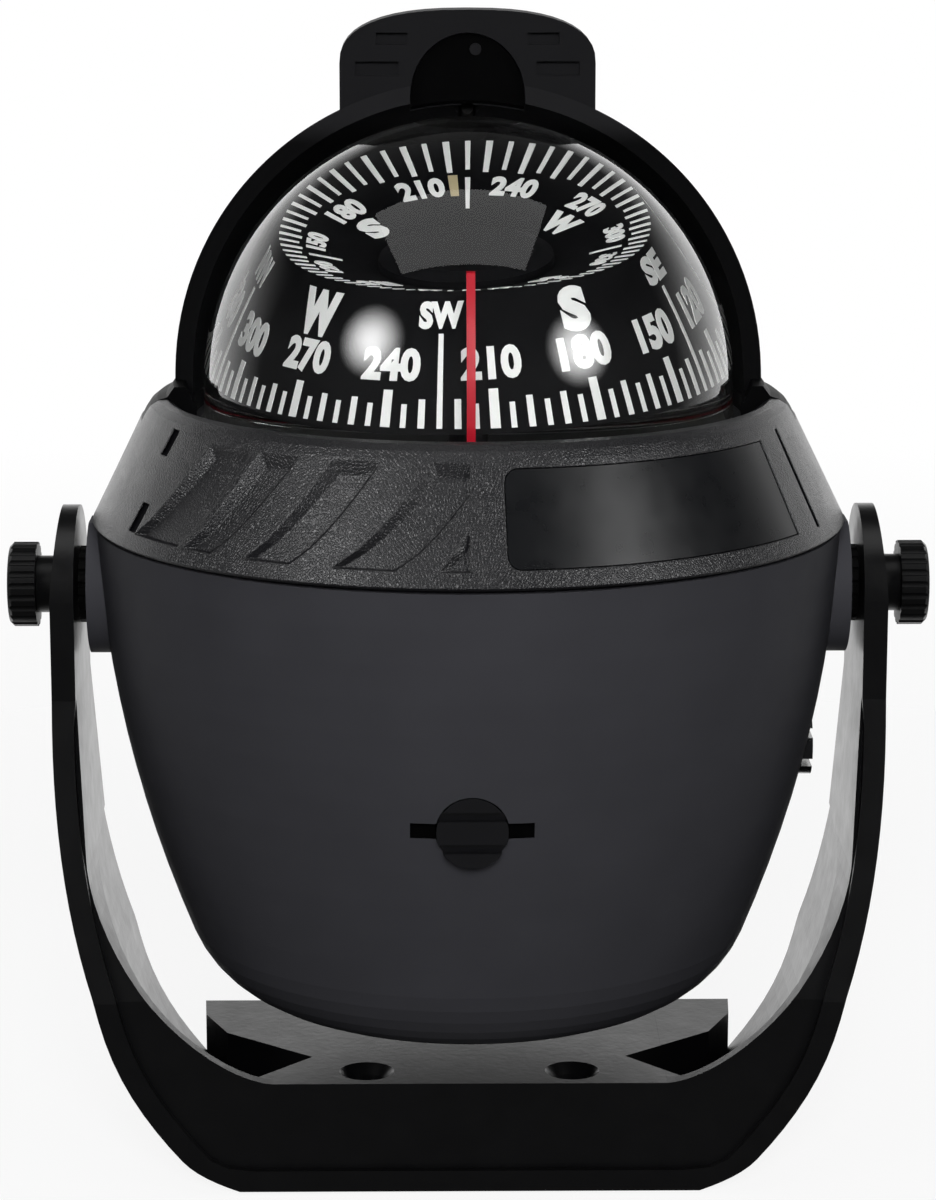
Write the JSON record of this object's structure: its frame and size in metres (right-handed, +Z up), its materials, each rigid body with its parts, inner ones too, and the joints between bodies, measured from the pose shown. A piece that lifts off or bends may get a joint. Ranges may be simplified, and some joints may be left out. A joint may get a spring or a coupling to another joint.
{
  "type": "car dashboard compass",
  "caption": "Liquid-filled ball compass with a clear dome and hood in a round black case, tilting in a U-shaped dashboard bracket.",
  "frame": {"origin": "centre of the bracket's underside, on the dashboard", "axes": "+Z up, -Y towards the driver, +X to the driver's right"},
  "size_m": [0.0932, 0.076, 0.1177],
  "materials": {
    "case_black": "satin, fine leather-like grain on the bezel",
    "bracket_black": "satin moulded black",
    "hood_black": "semi-gloss black",
    "panel_black": "smooth and bare",
    "knob_black": "satin knurled",
    "adjuster_black": "glossy",
    "rubber_black": "matte",
    "steel": "plain",
    "brass": "turned",
    "magnet_grey": "sintered magnet",
    "dome_clear": "clear moulded acrylic",
    "card_black": "matte with beige figures",
    "hub_grey": "matte grey",
    "float_foam": "closed-cell foam",
    "jewel_red": "polished",
    "lubber_red": "red enamel",
    "inner_black": "plain moulding",
    "lamp_clear": "clear epoxy",
    "board_green": "lacquered board",
    "cable_black": "insulated wire"
  },
  "bodies": {
    "bracket": {"mounting_bracket": "bracket_black"},
    "case": {"left_washer": "rubber_black", "right_washer": "rubber_black", "pivot_inserts": "brass", "lower_housing": "case_black", "bezel": "case_black", "bezel_panel": "panel_black", "bezel_screws": "steel", "hood": "hood_black", "hood_screws": "steel", "lamp_cover": "panel_black", "lamp_cover_screw": "steel", "led": "lamp_clear", "led_board": "board_green", "lamp_lead": "cable_black", "cable_grommet": "rubber_black", "dome": "dome_clear", "dome_gasket": "rubber_black", "capsule_bowl": "inner_black", "clamp_ring": "inner_black", "clamp_screws": "steel", "diaphragm": "rubber_black", "diaphragm_cover": "inner_black", "post_nut": "brass", "filler_plug": "inner_black", "pivot_post": "brass", "lubber_line": "lubber_red", "compensator_cage": "inner_black", "cage_screws": "steel"},
    "left_thumb_screw": {"left_knob": "knob_black", "left_knob_screw": "steel"},
    "right_thumb_screw": {"right_knob": "knob_black", "right_knob_screw": "steel"},
    "card": {"dial_card": "card_black", "card_hub": "hub_grey", "card_float": "float_foam", "card_magnets": "magnet_grey", "jewel_cup": "jewel_red"},
    "front_corrector": {"front_adjuster": "adjuster_black", "front_adjuster_shaft": "brass", "front_adjuster_magnet": "magnet_grey"},
    "side_corrector": {"side_adjuster": "adjuster_black", "side_adjuster_shaft": "brass", "side_adjuster_magnet": "magnet_grey"}
  },
  "joints": [
    {"name": "case_tilt", "type": "hinge", "parent": "bracket", "child": "case", "pos_m": [0, 0, 0.0603], "axis": [1, 0, 0], "range_deg": [-60, 60]},
    {"name": "left_knob_turn", "type": "hinge", "parent": "case", "child": "left_thumb_screw", "pos_m": [-0.0425, 0, 0.0603], "axis": [-1, 0, 0], "range_deg": [0, 180]},
    {"name": "right_knob_turn", "type": "hinge", "parent": "case", "child": "right_thumb_screw", "pos_m": [0.0425, 0, 0.0603], "axis": [1, 0, 0], "range_deg": [0, 180]},
    {"name": "card_turn", "type": "hinge", "parent": "case", "child": "card", "pos_m": [0, 0, 0.0852], "axis": [-0.0331, -0.0436, 0.9985], "continuous": true},
    {"name": "front_adjuster_turn", "type": "hinge", "parent": "case", "child": "front_corrector", "pos_m": [0, -0.03, 0.0436], "axis": [0, -1, 0], "continuous": true},
    {"name": "side_adjuster_turn", "type": "hinge", "parent": "case", "child": "side_corrector", "pos_m": [0.03, 0, 0.0436], "axis": [1, 0, 0], "continuous": true}
  ]
}
